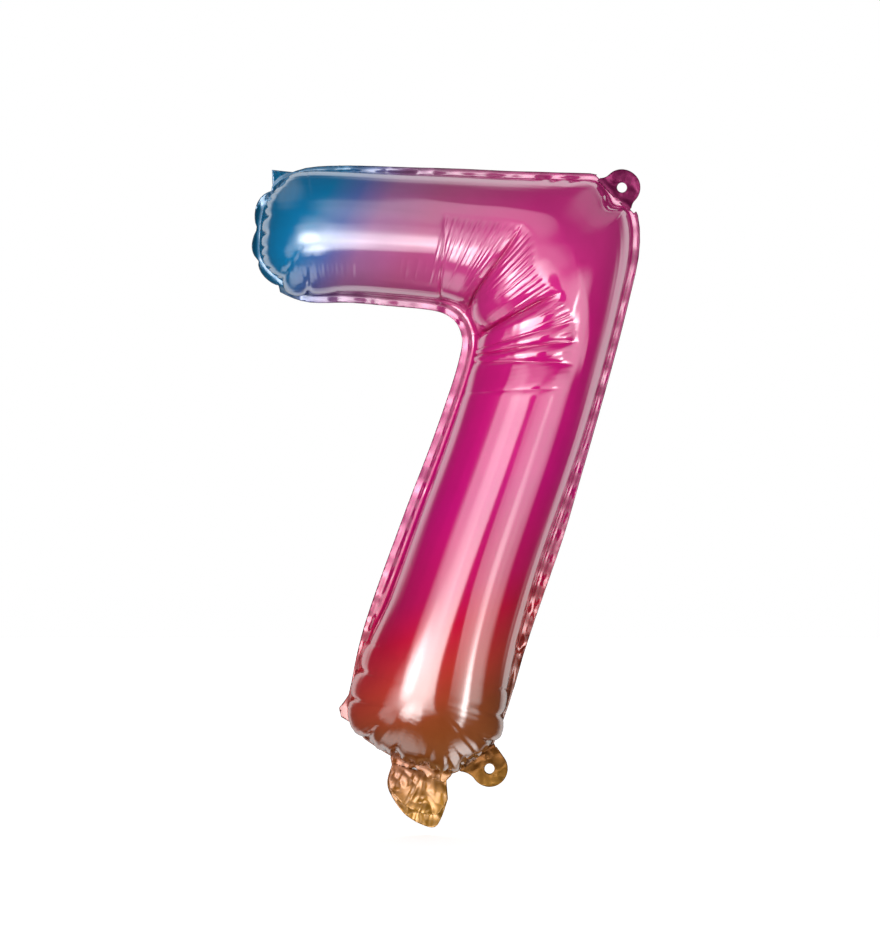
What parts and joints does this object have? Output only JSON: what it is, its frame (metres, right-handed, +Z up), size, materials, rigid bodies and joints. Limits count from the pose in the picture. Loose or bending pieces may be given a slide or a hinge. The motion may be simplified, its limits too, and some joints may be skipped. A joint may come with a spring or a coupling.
{
  "type": "foil number balloon",
  "caption": "Air-filled metallised film balloon in the shape of a numeral, with a flat heat-sealed rim, punched hang tabs and a self-sealing valve tail.",
  "frame": {"origin": "centre of the punched hole in the top hang tab, which the balloon hangs from", "axes": "+X to the numeral's right seen from its front, +Y out of its back, +Z up"},
  "size_m": [0.2332, 0.0848, 0.3973],
  "materials": {
    "foil_front": "mirror-gloss metallised film, printed with a fade from teal at the bar's free end through violet and magenta to red and bronze at the foot",
    "foil_back": "mirror-gloss metallised film with the same fade as the front",
    "foil_rim": "mirror-gloss metallised film, both sheets fused and crinkled",
    "foil_top_tab": "mirror-gloss metallised film, dark crimson",
    "foil_bottom_tab": "mirror-gloss metallised film, bronze",
    "foil_tail": "mirror-gloss metallised film, gold-brown, creased",
    "valve_film": "clear soft plastic film"
  },
  "bodies": {
    "balloon": {"front_panel": "foil_front", "back_panel": "foil_back", "seam_rim": "foil_rim", "valve_front_film": "valve_film", "valve_back_film": "valve_film"},
    "top_tab": {"top_hang_tab": "foil_top_tab"},
    "bottom_tab": {"bottom_hang_tab": "foil_bottom_tab"},
    "tail": {"tail_back_leaf": "foil_tail", "valve_inlet_front_film": "valve_film", "valve_inlet_back_film": "valve_film"},
    "tail_mouth": {"tail_front_leaf": "foil_tail"}
  },
  "joints": [
    {"name": "top_tab_fold", "type": "hinge", "parent": "balloon", "child": "top_tab", "pos_m": [-0.0039, 0, -0.0039], "axis": [0.7071, 0, -0.7071], "range_deg": [-90, 90], "stiffness_Nm_per_rad": 0.001},
    {"name": "bottom_tab_fold", "type": "hinge", "parent": "balloon", "child": "bottom_tab", "pos_m": [-0.0846, 0, -0.3414], "axis": [0.8192, 0, 0.5736], "range_deg": [-90, 90], "stiffness_Nm_per_rad": 0.001},
    {"name": "tail_fold", "type": "hinge", "parent": "balloon", "child": "tail", "pos_m": [-0.1215, 0, -0.34835], "axis": [0.9568, 0, -0.2907], "range_deg": [-75, 90], "stiffness_Nm_per_rad": 0.001},
    {"name": "tail_mouth_open", "type": "hinge", "parent": "tail", "child": "tail_mouth", "pos_m": [-0.1215, 0, -0.34835], "axis": [-0.9568, 0, 0.2907], "range_deg": [0, 15], "stiffness_Nm_per_rad": 0.0005}
  ]
}
